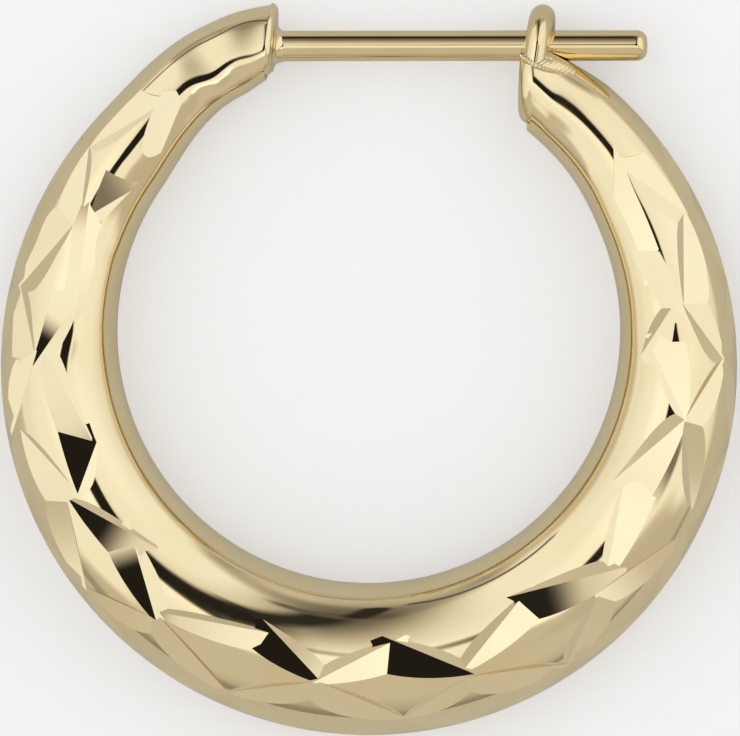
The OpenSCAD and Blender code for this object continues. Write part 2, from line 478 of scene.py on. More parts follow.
@dataclass(frozen=True)
class CutChart:
    """The cuts as they are seen from the front.

    A row has the places of the valley's two ends, in pixels right and down and
    counter-clockwise round the hoop, the widths of its two facets and, on the crest, how
    far its ends lie below the skin, in millimetres. The depth turns the facets, so it
    decides whether one shows the dark lens or the bright tent. Elsewhere it is side_sinks.

    Attributes:
        outline_width: the hoop's width, in pixels.
        yaw: how far the camera is turned about the hoop's upright axis.
        crest: the zigzag of cuts along the crest; side is the one outside it.
        edge_turns: hoop angles of the outermost zigzag's inner corners.
        edge_run_on: how far that zigzag goes on past its last corners, in degrees.
        edge_stop: how far its cuts stop short of the corners, in degrees.
        steps: how many times seen improves its guess.
    """

    outline_width: float = 738.6
    pole: tuple[float, float] = (368.4, 352.0)
    yaw: float = math.radians(4.2)
    crest: tuple[tuple[float, ...], ...] = (
        (162, 94, 161, 151, 0.42, 0.50, 0.015, 0.015),
        (123, 196, 89, 216, 0.55, 0.28, 0.03, 0),
        (87, 219, 77, 300, 0.45, 0.45, 0.13, 0.09),
        (76, 304, 41, 353, 0.56, 0.33, 0.09, 0.08),
        (45, 352, 82, 420, 0.50, 0.45, 0.085, 0.085),
        (97, 442, 78, 494, 0.75, 0.33, 0, 0),
        (68, 498, 141, 538, 0.56, 0.34, 0, 0.10),
        (133, 539, 155, 617, 0.57, 0.56, 0.10, 0.05),
        (169, 614, 254, 629, 0.46, 0.30, 0.085, 0.085),
        (273, 629, 317, 677, 0.60, 0.44, 0.06, 0.06),
        (319, 679, 389, 642, 0.60, 0.39, 0.06, 0.06),
        (390, 638, 466, 670, 0.73, 0.39, 0.04, 0.06),
        (466, 666, 518, 600, 0.58, 0.40, 0.06, 0.06),
        (529, 590, 606, 572, 0.72, 0.42, 0.09, 0.17),
        (607, 569, 621, 489, 0.75, 0.30, 0.09, 0.09),
        (620, 473, 683, 420, 0.72, 0.44, 0.04, 0.04),
        (683, 417, 653, 354, 0.71, 0.30, 0.06, 0.09),
        (646, 344, 669, 310, 0.58, 0.26, 0.09, 0.09),
        (681, 316, 640, 267, 0.50, 0.33, 0.06, 0.06),
        (640, 264, 618, 167, 0.40, 0.30, 0, 0.03),
    )
    side: tuple[tuple[float, ...], ...] = (
        (151, 111, 94, 144, 0.56, 0.28),
        (88, 151, 81, 213, 0.55, 0.25),
        (71, 227, 20, 285, 0.60, 0.33),
        (20, 287, 33, 348, 0.55, 0.25),
        (36, 353, 11, 433, 0.50, 0.33),
        (23, 433, 67, 480, 0.75, 0.25),
        (67, 501, 85, 587, 0.71, 0.25),
        (88, 589, 149, 616, 0.56, 0.20),
        (160, 617, 226, 691, 0.56, 0.30),
        (230, 692, 311, 682, 0.50, 0.32),
        (320, 682, 403, 717, 0.65, 0.34),
        (406, 717, 464, 679, 0.45, 0.30),
        (468, 676, 567, 664, 0.57, 0.40),
        (568, 662, 597, 598, 0.60, 0.42),
        (599, 591, 680, 536, 0.50, 0.30),
        (691, 506, 683, 423, 0.52, 0.35),
        (684, 419, 722, 359, 0.50, 0.28),
        (722, 358, 684, 307, 0.50, 0.38),
        (683, 300, 683, 215, 0.60, 0.32),
        (683, 211, 629, 174, 0.55, 0.38),
    )
    side_sinks: tuple[float, float] = (0.03, 0.03)
    edge_turns: tuple[float, ...] = (143, 169, 193, 220, 248, 276, 303, 332, 359, 384)
    edge_run_on: float = 13
    edge_section: float = 37
    line_section: float = 3
    edge_stop: float = 1
    edge_facets: tuple[float, float] = (0.40, 0.30)
    steps: int = 7

    def seen(self, shape: HoopShape, x: float, y: float) -> tuple[float, float]:
        """Finds the skin's point that is seen at a charted place.

        The height of the skin there shifts it sideways by height times sin yaw, and is
        found in a few steps.

        Args:
            shape: the tube.
            x: pixels to the right.
            y: pixels down.

        Returns:
            Its hoop angle and section angle.
        """
        scale = shape.hoop_d / self.outline_width
        up = (self.pole[1] - y) * scale
        height = s = 0.0
        for _ in range(self.steps):
            right = ((x - self.pole[0]) * scale + height * math.sin(self.yaw)) / math.cos(self.yaw)
            a = math.degrees(math.atan2(up, right))
            a += 360 if a < shape.left_angle else 0
            at = np.array(a)
            middle = np.linalg.norm(shape.centre(at) - np.array([0, shape.pole_y, 0]))
            share = (math.hypot(right, up) - middle) / np.linalg.norm(shape.arm(at))
            share += float(shape.skew(at)) * math.sin(math.radians(s)) ** 2
            s = math.degrees(math.acos(max(-1, min(1, share))))
            height = float(shape.half_depth(at)) * math.sin(math.radians(s))
        return a, s

    def cuts(self, shape: HoopShape) -> list[Cut]:
        """Lists the cuts of the front: the charted ones, and the zigzag beside the outer line.

        Args:
            shape: the tube.

        Returns:
            The cuts, in the chart's order.
        """
        rows = self.crest + tuple(row + self.side_sinks for row in self.side)
        found = [Cut(self.seen(shape, *row[:2]), self.seen(shape, *row[2:4]), *row[4:]) for row in rows]
        turns = self.edge_turns
        between = [(one + two) / 2 for one, two in zip(turns, turns[1:])]
        lines = [turns[0] - self.edge_run_on, *between, turns[-1] + self.edge_run_on]
        sizes = (*self.edge_facets, *self.side_sinks)
        for edge, before, after in zip(turns, lines, lines[1:]):
            near, far = edge - self.edge_stop, edge + self.edge_stop
            found.append(Cut((before + self.edge_stop, self.line_section), (near, self.edge_section), *sizes))
            found.append(Cut((far, self.edge_section), (after - self.edge_stop, self.line_section), *sizes))
        return found


@dataclass(frozen=True)
class Wedge:
    """A blunt five-point wedge that cuts one valley: its points, and the planes of its two walls."""

    points: Array
    walls: tuple[tuple[Array, Array], tuple[Array, Array]]

    FACES = ((0, 2, 1), (1, 3, 0), (0, 4, 2), (2, 4, 1), (3, 4, 0), (1, 4, 3))


@dataclass
class HoopBody:
    """The polished tube with its diamond cuts on the front and the back.

    Attributes:
        overrun: how far a wedge runs on past its valley's ends.
        reach: how far its walls go on past their facets' edges, as a multiple.
        height: how high the wedge stands over the skin.
        groove_r: radius of the groove that the post lies in.
        dish: radius of the hollow that the cutter leaves along a valley.
        rim_reach: how many degrees from an end its rounding may be.
        turn_weight: how much a facet's turn counts against its distance, to find its wedge.
    """

    shape: HoopShape
    chart: CutChart
    rest: Rest
    rings: int = 560
    sides: int = 128
    rim_rings: int = 10
    overrun: float = 0.8
    reach: float = 3.0
    height: float = 1.2
    groove_r: float = 0.535
    groove_sides: int = 96
    dish: float = 40.0
    rim_reach: float = 6.0
    turn_weight: float = 20.0

    def ring(self, a: float, along: float, inset: float) -> Array:
        """One ring of the tube, moved ahead by along and drawn in by inset.

        Args:
            a: hoop angle in degrees.
            along: how far it is moved along its own plane's normal.
            inset: how much smaller both its half axes are.

        Returns:
            Its points, one row each.
        """
        at = np.array(float(a))
        arm = self.shape.arm(at)
        wide = np.linalg.norm(arm)
        arm = arm / wide
        ahead = np.array([-arm[1], arm[0], 0])
        s = circle_turns(self.sides)
        deep = float(self.shape.half_depth(at)) - inset
        flat = (np.cos(s) - self.shape.skew(at) * np.sin(s) ** 2)[:, None] * arm * (wide - inset)
        return self.shape.centre(at) + ahead * along + flat + np.sin(s)[:, None] * [0, 0, deep]

    def rim(self, a: float, radius: float, way: int) -> list[Array]:
        """The rings of an end's rounding, a quarter circle of the given radius."""
        turns = [math.pi / 2 * i / self.rim_rings for i in range(1, self.rim_rings + 1)]
        return [self.ring(a, way * radius * (math.sin(t) - 1), radius * (1 - math.cos(t))) for t in turns]

    def tube(self) -> bpy.types.Object:
        """Builds the closed tube, in mm.

        Returns:
            The tube, with both ends rounded and without its cuts.
        """
        form = self.shape
        first = form.left_angle + form.left_rim / form.turn_arc(form.left_angle)
        last = form.right_angle - form.right_rim / form.turn_arc(form.right_angle)
        rings = [
            *reversed(self.rim(form.left_angle, form.left_rim, -1)),
            *[self.ring(a, 0, 0) for a in np.linspace(first, last, self.rings)],
            *self.rim(form.right_angle, form.right_rim, 1),
        ]
        return make_mesh("hoop_body", np.concatenate(rings), tube_faces(len(rings), self.sides))

    def wedge(self, cut: Cut) -> Wedge:
        """Works out the wedge of one cut.

        Its edge runs between two points just below the skin, and on past them. Each wall
        rises from the valley's middle through the skin at its facet's width.

        Args:
            cut: where it is and how wide its facets are.

        Returns:
            The wedge, in mm.
        """
        form = self.shape
        start, end = np.array(cut.start), np.array(cut.end)
        one = form.skin(*start) - cut.start_sink * form.normal(*start)
        two = form.skin(*end) - cut.end_sink * form.normal(*end)
        a, s = (start + end) / 2
        valley = (one + two) / 2
        along = unit(two - one)
        arcs = np.array([form.turn_arc(a), np.linalg.norm(form.arm(np.array(a))) * math.pi / 180])
        run = (end - start) * arcs
        step = unit(np.array([run[1], -run[0]])) / arcs
        outwards = step if step[1] < 0 else -step
        sides = []
        for width in (cut.outer_facet, -cut.inner_facet):
            at = np.array([a, s]) + outwards * width
            sides.append(valley + (form.skin(*at) - valley) * self.reach)
        top = valley + form.normal(np.array(a), np.array(s)) * self.height
        points = np.array([one - along * self.overrun, two + along * self.overrun, *sides, top])
        return Wedge(points, tuple((unit(np.cross(two - one, side - one)), valley) for side in sides))

    def cutters(self, wedges: list[Wedge]) -> list[tuple[Array, list, int]]:
        """Lists what is cut away: the wedges, their mirror images on the back and the post's groove.

        Args:
            wedges: those of the front.

        Returns:
            Each solid's points, its faces and the number of the mark that its cut gets.
        """
        solids = []
        mirrored = [tuple(reversed(face)) for face in Wedge.FACES]
        for wedge in wedges:
            solids.append((wedge.points, list(Wedge.FACES), CUT_MARK))
            solids.append((wedge.points * MIRROR, mirrored, CUT_MARK))
        t = circle_turns(self.groove_sides)
        circle = np.stack([0 * t, POST_Y + self.groove_r * np.cos(t), self.groove_r * np.sin(t)], -1)
        groove = np.concatenate([circle, circle + [self.shape.hoop_d / 2, 0, 0]])
        solids.append((groove, tube_faces(2, self.groove_sides), GROOVE_MARK))
        return solids

    def carve(self, tube: bpy.types.Object, wedges: list[Wedge]) -> None:
        """Cuts the wedges and the groove out of the tube, and marks their faces by a material each.

        Args:
            tube: the closed tube, whose mesh is replaced.
            wedges: those of the front.
        """
        cutters = bpy.data.collections.new("cutters")
        bpy.context.scene.collection.children.link(cutters)
        marks = [bpy.data.materials.new(f"mark_{i}") for i in (SKIN_MARK, CUT_MARK, GROOVE_MARK)]
        tube.data.materials.append(marks[SKIN_MARK])
        for number, (points, faces, mark) in enumerate(self.cutters(wedges)):
            cutter = make_mesh(f"cutter_{number}", points, faces)
            bpy.context.scene.collection.objects.unlink(cutter)
            cutters.objects.link(cutter)
            cutter.data.materials.append(marks[mark])
            if self.volume(cutter.data) < 0:
                cutter.data.flip_normals()
        change = tube.modifiers.new("cuts", "BOOLEAN")
        change.operation = "DIFFERENCE"
        change.operand_type = "COLLECTION"
        change.collection = cutters
        change.solver = "MANIFOLD"
        change.material_mode = "TRANSFER"
        bpy.context.view_layer.update()
        depsgraph = bpy.context.evaluated_depsgraph_get()
        cut = bpy.data.meshes.new_from_object(tube.evaluated_get(depsgraph), depsgraph=depsgraph)
        tube.modifiers.clear()
        old = tube.data
        tube.data = cut
        bpy.data.meshes.remove(old)
        cut.name = tube.name
        for cutter in list(cutters.objects):
            mesh = cutter.data
            bpy.data.objects.remove(cutter)
            bpy.data.meshes.remove(mesh)
        bpy.data.collections.remove(cutters)

    @staticmethod
    def volume(mesh: bpy.types.Mesh) -> float:
        """Volume inside a closed mesh, negative where its faces point inwards.

        Args:
            mesh: any closed mesh.

        Returns:
            The volume, in the mesh's own units.
        """
        mesh.calc_loop_triangles()
        points = np.array([v.co for v in mesh.vertices])
        corners = np.array([t.vertices for t in mesh.loop_triangles])
        a, b, c = points[corners[:, 0]], points[corners[:, 1]], points[corners[:, 2]]
        return float((np.cross(a, b) * c).sum() / 6)

    def skin_normals(self, points: Array) -> Array:
        """The tube's normals at points on it, its rounded rims and its end faces included.

        On the rims the normal turns from the skin's own to the end's: cos t times the one
        plus sin t times the other, where sin t = 1 - distance from the end over the radius.

        Args:
            points: one row each, in mm.

        Returns:
            Directions of length 1.
        """
        form = self.shape
        a, s = form.locate(points)
        normals = form.normal(a, s)
        ends = ((form.left_angle, form.left_rim, -1), (form.right_angle, form.right_rim, 1))
        for end, radius, way in ends:
            at = np.array(float(end))
            arm = unit(form.arm(at))
            out = np.array([-arm[1], arm[0], 0]) * way
            inside = -((points - form.centre(at)) @ out)
            near = (np.abs(a - end) < self.rim_reach) & (inside < radius)
            lift = np.clip(1 - inside / radius, 0, 1)[:, None]
            side = unit(normals - (normals @ out)[:, None] * out)
            round_rim = side * np.sqrt(1 - lift ** 2) + out * lift
            normals = np.where(near[:, None], round_rim, normals)
        return unit(normals)

    def shade(self, body: bpy.types.Object, wedges: list[Wedge]) -> Array:
        """Sets the corner normals: smooth on the tube, and flat but slightly dished on the facets.

        A facet is very slightly hollow along its valley, as a round cutter leaves it: its
        normal leans by the distance from its middle over the dish's radius.

        Args:
            body: the carved tube, in mm, which is also placed as it lies.
            wedges: those of the front.

        Returns:
            The mark of each face.
        """
        mesh = body.data
        points = read(mesh.vertices, "co", 3)
        corners = read(mesh.loops, "vertex_index", kind=np.int32)
        face_of = np.repeat(np.arange(len(mesh.polygons)), read(mesh.polygons, "loop_total", kind=np.int32))
        flat = read(mesh.polygons, "normal", 3)
        centres = read(mesh.polygons, "center", 3)

        slots = [int(m.name.split("_")[1].split(".")[0]) for m in mesh.materials]
        marks = np.array(slots)[read(mesh.polygons, "material_index", kind=np.int32)]
        normals = flat[face_of].copy()
        on_skin = marks[face_of] == SKIN_MARK
        used = np.unique(corners[on_skin])
        smooth = np.zeros_like(points)
        smooth[used] = self.skin_normals(points[used])
        normals[on_skin] = smooth[corners[on_skin]]

        planes = [
            (normal * way, middle * way, unit(wedge.points[1] - wedge.points[0]) * way)
            for wedge in wedges for way in ((1, 1, 1), MIRROR) for normal, middle in wedge.walls
        ]
        plane_n, plane_p, along = (np.array(part) for part in zip(*planes))
        facets = np.flatnonzero(marks == CUT_MARK)
        turn = np.abs(flat[facets] @ plane_n.T)
        off = np.abs(((centres[facets][:, None] - plane_p[None]) * plane_n[None]).sum(-1))
        owner = np.full(len(mesh.polygons), -1)
        owner[facets] = np.argmin((1 - turn) * self.turn_weight + off, axis=1)
        cut_corner = np.flatnonzero(owner[face_of] >= 0)
        which = owner[face_of[cut_corner]]
        from_middle = ((points[corners[cut_corner]] - plane_p[which]) * along[which]).sum(-1)
        normals[cut_corner] = unit(normals[cut_corner] - along[which] * (from_middle / self.dish)[:, None])

        mesh.vertices.foreach_set("co", self.rest.place(points).reshape(-1))
        mesh.update()
        mesh.polygons.foreach_set("use_smooth", np.ones(len(mesh.polygons), dtype=bool))
        mesh.normals_split_custom_set(self.rest.turn(normals).tolist())
        return marks

    def build(self, finishes: tuple[bpy.types.Material, ...]) -> bpy.types.Object:
        """Builds, carves, shades and dresses the hoop.

        Args:
            finishes: the materials of the skin, the cuts and the groove.

        Returns:
            The finished piece.
        """
        body = self.tube()
        wedges = [self.wedge(cut) for cut in self.chart.cuts(self.shape)]
        self.carve(body, wedges)
        marks = self.shade(body, wedges)
        body.data.materials.clear()
        for finish in finishes:
            body.data.materials.append(finish)
        body.data.polygons.foreach_set("material_index", marks.astype(np.int32))
        body.data.update()
        return body


@dataclass
class EarPost:
    """The straight wire through the ear, with its rounded tip and the solder round its root.

    Attributes:
        tip_x: how far right the tip reaches.
        tip_round: radius of its rounded edge.
        root_depth: how far the wire goes on inside the hoop.
        fillet: how far the solder spreads over the end's face and along the wire.
        fillet_sunk: how far it goes on into the face.
        fillet_clear: how far it stands over the wire where it ends.
        swell: how much its edge swells, as a share of its radius.
        swell_waves: count round the wire, phase and share of each of its waves.
    """

    shape: HoopShape
    rest: Rest
    radius: float = 0.495
    tip_x: float = 9.08
    tip_round: float = 0.33
    root_depth: float = 0.6
    fillet: float = 0.32
    fillet_sunk: float = 0.02
    fillet_clear: float = 0.004
    swell: float = 0.10
    swell_waves: tuple[tuple[int, float, float], ...] = ((2, 0.6, 1.0), (3, 2.0, 0.5))
    sides: int = 96
    wire_rings: int = 260
    tip_rings: int = 16
    fillet_rings: int = 24

    def root(self) -> tuple[float, float]:
        """Where the post leaves the left end's face, and how far that face leans, in radians.

        Returns:
            The X of that place in mm, and the lean.
        """
        at = np.array(self.shape.left_angle)
        top, low = self.shape.edge(at, True), self.shape.edge(at, False)
        slope = (top[0] - low[0]) / (top[1] - low[1])
        return float(low[0] + slope * (POST_Y - low[1])), math.atan(slope)

    def lathe(self, along: Array, radii: Array) -> Array:
        """Turns a profile about X: (along, radius cos t, -radius sin t) for t all round.

        Args:
            along: how far along X each ring lies, in mm.
            radii: the rings' radii.

        Returns:
            Points, one row each, ring after ring.
        """
        t = circle_turns(self.sides)
        x = np.repeat(along[:, None], self.sides, 1)
        return np.stack([x, radii[:, None] * np.cos(t), -radii[:, None] * np.sin(t)], -1).reshape(-1, 3)

    def wire(self, finish: bpy.types.Material) -> bpy.types.Object:
        """The wire: a long cylinder whose tip's edge is rounded by a quarter circle.

        Args:
            finish: its material.

        Returns:
            The finished piece.
        """
        start = self.root()[0] - self.root_depth
        straight = np.linspace(start, self.tip_x - self.tip_round, self.wire_rings)
        turn = np.linspace(0, math.pi / 2, self.tip_rings + 1)[1:]
        along = np.concatenate([straight, self.tip_x - self.tip_round * (1 - np.sin(turn))])
        rounded = self.radius - self.tip_round * (1 - np.cos(turn))
        points = self.lathe(along, np.concatenate([0 * straight + self.radius, rounded]))
        return self.finish("ear_post", points + [0, POST_Y, 0], finish)

    def solder(self, finish: bpy.types.Material) -> bpy.types.Object:
        """The solder: a collar whose hollow curve runs from the end's face to the wire.

        Its edge is a little uneven, as solder flows: the radius swells by a few slow waves.

        Args:
            finish: its material.

        Returns:
            The finished piece.
        """
        turn = np.linspace(0, math.pi / 2, self.fillet_rings)
        flow = self.radius + self.fillet * (1 - np.sin(turn)) + self.fillet_clear
        along = np.concatenate([[-self.fillet_sunk], self.fillet * (1 - np.cos(turn))])
        points = self.lathe(along, np.concatenate([[flow[0]], flow]))
        t = np.arctan2(points[:, 2], points[:, 1])
        away = np.clip((np.hypot(points[:, 1], points[:, 2]) - self.radius) / self.fillet, 0, 1)
        waves = sum(share * np.sin(count * t + phase) for count, phase, share in self.swell_waves)
        points[:, 1:] *= (1 + self.swell * away * waves)[:, None]
        face_x, lean = self.root()
        return self.finish("post_solder", spin(points, -lean) + [face_x, POST_Y, 0], finish)

    def finish(self, name: str, points: Array, material: bpy.types.Material) -> bpy.types.Object:
        """Places the rings of a turned piece and makes it smooth.

        Args:
            name: the piece's name.
            points: its rings' points, in mm.
            material: its finish.

        Returns:
            The finished piece.
        """
        piece = make_mesh(name, self.rest.place(points), tube_faces(len(points) // self.sides, self.sides))
        smooth_piece(piece, material)
        return piece


def smooth_piece(piece: bpy.types.Object, material: bpy.types.Material, angle: float = 40.0) -> None:
    """Shades a piece smooth apart from its sharp edges, and gives it its material.

    Args:
        piece: the piece.
        material: its finish.
        angle: the smallest bend that stays sharp, in degrees.
    """
    piece.data.polygons.foreach_set("use_smooth", np.ones(len(piece.data.polygons), dtype=bool))
    piece.data.set_sharp_from_angle(angle=math.radians(angle))
    piece.data.materials.append(material)
    piece.data.update()


@dataclass
class CatchLoop:
    """The U of wire over the post's end, with its feet soldered to the right end of the hoop.

    Attributes:
        x: where it stands along the post.
        lean: how far it leans away from the gap.
        wire_r: radius of its wire.
        loop_r: radius of the half circle over the post.
        foot: length of its two legs.
    """

    rest: Rest
    x: float = 5.55
    lean: float = math.radians(8)
    wire_r: float = 0.4
    loop_r: float = 0.955
    foot: float = 0.52
    sides: int = 64
    arc_steps: int = 72
    leg_steps: int = 24

    def path(self) -> tuple[Array, Array]:
        """The wire's middle line and its directions: a leg up, half a circle and a leg down.

        Returns:
            Points in mm, and directions of length 1.
        """
        t = np.linspace(0, math.pi, self.arc_steps)
        arc = np.stack([0 * t, self.loop_r * np.sin(t), self.loop_r * np.cos(t)], -1)
        way = np.stack([0 * t, np.cos(t), -np.sin(t)], -1)
        leg = np.linspace(-self.foot, 0, self.leg_steps, endpoint=False)
        up = np.stack([0 * leg, leg, 0 * leg + self.loop_r], -1)
        down = np.stack([0 * leg, leg[::-1], 0 * leg - self.loop_r], -1)
        straight = np.tile([0.0, 1.0, 0.0], (self.leg_steps, 1))
        return np.concatenate([up, arc, down]), np.concatenate([straight, way, -straight])

    def build(self, finish: bpy.types.Material) -> bpy.types.Object:
        """Sweeps a circle along the path: point = middle + r (cos u X + sin u (way x X)).

        The loop leans away from the gap and stands over the post.

        Args:
            finish: its material.

        Returns:
            The finished piece.
        """
        line, way = self.path()
        u = circle_turns(self.sides)
        across = np.array([1.0, 0.0, 0.0])
        outward = np.cross(way, across)
        ring = np.cos(u)[None, :, None] * across + np.sin(u)[None, :, None] * outward[:, None, :]
        points = (line[:, None, :] + self.wire_r * ring).reshape(-1, 3)
        stood = spin(points, -self.lean) + [self.x, POST_Y, 0]
        piece = make_mesh("catch_loop", self.rest.place(stood), tube_faces(len(line), self.sides))
        smooth_piece(piece, finish)
        return piece


@dataclass
class CatchSolder:
    """The filed solder where a foot of the catch meets the hoop: a low mound, filed along the hoop.

    Attributes:
        middle: the front mound's middle.
        long_way: the direction that it is longest in.
        out_way: the direction that it stands out in.
        size: its half axes: along, across and out. The heights below are shares of them.
        round_swell: height, count and phase of the slow waves round it.
        down_swell: height and count of those from its top down.
        stroke_high: height of the file marks.
        stroke_waves: how closely they follow each other, along and across.
        stroke_bend: how far and how often they bend.
    """

    rest: Rest
    middle: tuple[float, float, float] = (5.86, 9.92, 0.955)
    long_way: tuple[float, float, float] = (0.93, -0.31, -0.19)
    out_way: tuple[float, float, float] = (0.36, 0.60, 0.71)
    size: tuple[float, float, float] = (0.98, 0.42, 0.26)
    round_swell: tuple[float, int, float] = (0.05, 3, 1.1)
    down_swell: tuple[float, int] = (0.04, 4)
    stroke_high: float = 0.022
    stroke_waves: tuple[float, float] = (46.0, -9.0)
    stroke_bend: tuple[int, int] = (2, 5)
    rings: int = 160
    sides: int = 240

    def build(self, name: str, side: int, finish: bpy.types.Material) -> bpy.types.Object:
        """An oval lump with file marks: radius times 1 + a few slow waves + a fine slanted one.

        Args:
            name: the piece's name.
            side: 1 for the front foot, -1 for the back one.
            finish: its material.

        Returns:
            The finished piece.
        """
        v = np.linspace(0, math.pi, self.rings)[:, None]
        u = circle_turns(self.sides)[None, :]
        ball = np.stack([np.sin(v) * np.cos(u), np.sin(v) * np.sin(u), np.cos(v) + 0 * u], -1)
        high, count, phase = self.round_swell
        slow = high * np.sin(count * u + phase) * np.sin(v) ** 2
        high, count = self.down_swell
        slow = slow + high * np.sin(count * v + u)
        along, aside = self.stroke_waves
        far, often = self.stroke_bend
        strokes = along * ball[..., 0] + aside * ball[..., 1] + far * np.sin(often * ball[..., 1])
        files = self.stroke_high * np.sin(strokes) * np.sin(v)
        lump = ball * (1 + slow + files)[..., None] * self.size
        long_way = unit(np.array(self.long_way))
        across = unit(np.cross(self.out_way, long_way))
        axes = np.array([long_way, across, np.cross(long_way, across)])
        points = ((lump @ axes + self.middle) * [1, 1, side]).reshape(-1, 3)
        piece = make_mesh(name, self.rest.place(points), grid_faces(self.rings, self.sides))
        weld(piece)
        smooth_piece(piece, finish)
        return piece


def weld(piece: bpy.types.Object) -> None:
    """Merges doubled points, as at poles, and turns every face outwards.

    Args:
        piece: the piece whose mesh is changed.
    """
    work = bmesh.new()
    work.from_mesh(piece.data)
    bmesh.ops.remove_doubles(work, verts=work.verts, dist=1e-8)
    bmesh.ops.recalc_face_normals(work, faces=work.faces)
    work.to_mesh(piece.data)
    work.free()
    piece.data.update()


# Finishes

@dataclass(frozen=True)
class Gold:
    """Yellow gold of 14 carats, polished, cut, drawn or filed.

    Attributes:
        name: what the finish is.
        colour: the metal's colour where it is seen straight on.
        deep: its colour in the thin film of finger grease and polish left in places.
        roughness: how much reflections are blurred.
        wave_mm: length of the slow waves that hand polishing leaves.
        wave_high: their height in mm.
        line_mm: spacing of the fine tool lines.
        line_high: their height in mm.
        line_way: the direction across the lines, in the frame's axes.
        line_along: how much a line changes along itself, beside the change across.
        patch_mm: size of the patches of grease.
        patch_span: the noise's values where a patch begins and where it is full.
        haze_mm: size of the patches of haze.
        haze_span: the noise's values where the metal is clearest and where it is haziest.
        haze_share: what share of the roughness it has there.
    """

    name: str
    colour: str
    deep: str
    roughness: float
    wave_mm: float
    wave_high: float
    line_mm: float
    line_high: float
    line_way: tuple[float, float, float] = (0.0, 1.0, 0.0)
    line_along: float = 0.02
    patch_mm: float = 2.4
    patch_span: tuple[float, float] = (0.35, 0.75)
    haze_mm: float = 0.7
    haze_span: tuple[float, float] = (0.3, 0.7)
    haze_share: tuple[float, float] = (0.7, 1.4)

    def material(self) -> bpy.types.Material:
        """Builds the shader: metal with a slow wave and fine lines in its bump.

        Returns:
            The finished material.
        """
        made = bpy.data.materials.new(self.name)
        tree = clear_tree(made)
        place = add_node(tree, "TexCoord").outputs["Object"]

        patches = {"Vector": place, "Scale": 1 / (self.patch_mm * MM), "Detail": 3.0}
        patch = add_node(tree, "TexNoise", patches).outputs[0]
        clean, full = self.patch_span
        tint = add_node(tree, "MapRange", {"Value": patch, "From Min": clean, "From Max": full}).outputs[0]
        shades = {"Factor": tint, COLOUR_A: linear(self.colour), COLOUR_B: linear(self.deep)}
        colour = add_node(tree, "Mix", shades, data_type="RGBA").outputs[COLOUR_OUT]

        haze = add_node(tree, "TexNoise", {
            "Vector": place, "Scale": 1 / (self.haze_mm * MM), "Detail": 4.0,
        })
        clear, dull = self.haze_span
        least, most = (self.roughness * share for share in self.haze_share)
        rough = add_node(tree, "MapRange", {
            "Value": haze.outputs[0], "From Min": clear, "From Max": dull, "To Min": least, "To Max": most,
        })

        slow = add_node(tree, "TexNoise", {"Vector": place, "Scale": 1 / (self.wave_mm * MM), "Detail": 1.0})
        bump = add_node(tree, "Bump", {
            "Height": slow.outputs[0], "Strength": 1.0, "Distance": self.wave_high * MM,
        })
        squeeze = [(across + self.line_along) / (self.line_mm * MM) for across in self.line_way]
        lines_at = add_node(tree, "Mapping", {"Vector": place, "Scale": squeeze})
        lines = add_node(tree, "TexNoise", {"Vector": lines_at.outputs[0], "Scale": 1.0, "Detail": 2.0})
        fine = add_node(tree, "Bump", {
            "Height": lines.outputs[0], "Strength": 1.0, "Distance": self.line_high * MM,
            "Normal": bump.outputs[0],
        })
        shader = add_node(tree, "BsdfPrincipled", {
            "Base Color": colour, "Roughness": rough.outputs[0],
            "Metallic": 1.0, "Normal": fine.outputs[0],
        })
        add_node(tree, "OutputMaterial", {"Surface": shader.outputs[0]})
        return made


class Finish(Enum):
    """The finishes of the earring's metal."""

    # Buffed on a wheel: mirror-like, with slow waves where the wheel dwelt
    SKIN = Gold("gold_buffed", "#F3E1B5", "#F0DCAC", 0.045, 2.2, 0.0040, 0.05, 0.00002, (0.0, 1.0, 0.0))
    # Cut by a turning diamond: the brightest, with lines too fine to see
    CUT = Gold("gold_diamond_cut", "#F4E3B9", "#F2DFB2", 0.025, 1.4, 0.0010, 0.06, 0.00003, (0.7, 0.7, 0.0))
    # Drawn through a die and buffed along
    WIRE = Gold("gold_drawn_wire", "#F1DDAE", "#EBD3A0", 0.04, 1.8, 0.0016, 0.05, 0.0002, (0.0, 1.0, 1.0))
    # Hard solder, filed and only lightly buffed
    SOLDER = Gold("gold_solder_filed", "#EED9A9", "#E2C896", 0.16, 0.35, 0.012, 0.07, 0.0045, (0.6, 0.8, 0.0))


# Studio

@dataclass(frozen=True)
class Panel:
    """A soft-edged bright or dark shape of the tent, as long or as round as its two ends say.

    Attributes:
        start: its one end, in degrees right and up of the camera's axis.
        start_half: half its width there, in degrees.
        end: its other end.
        end_half: half its width there.
        soft: how far its edge fades to each side.
        level: its brightness.
    """

    start: tuple[float, float]
    start_half: float
    end: tuple[float, float]
    end_half: float
    soft: float
    level: float


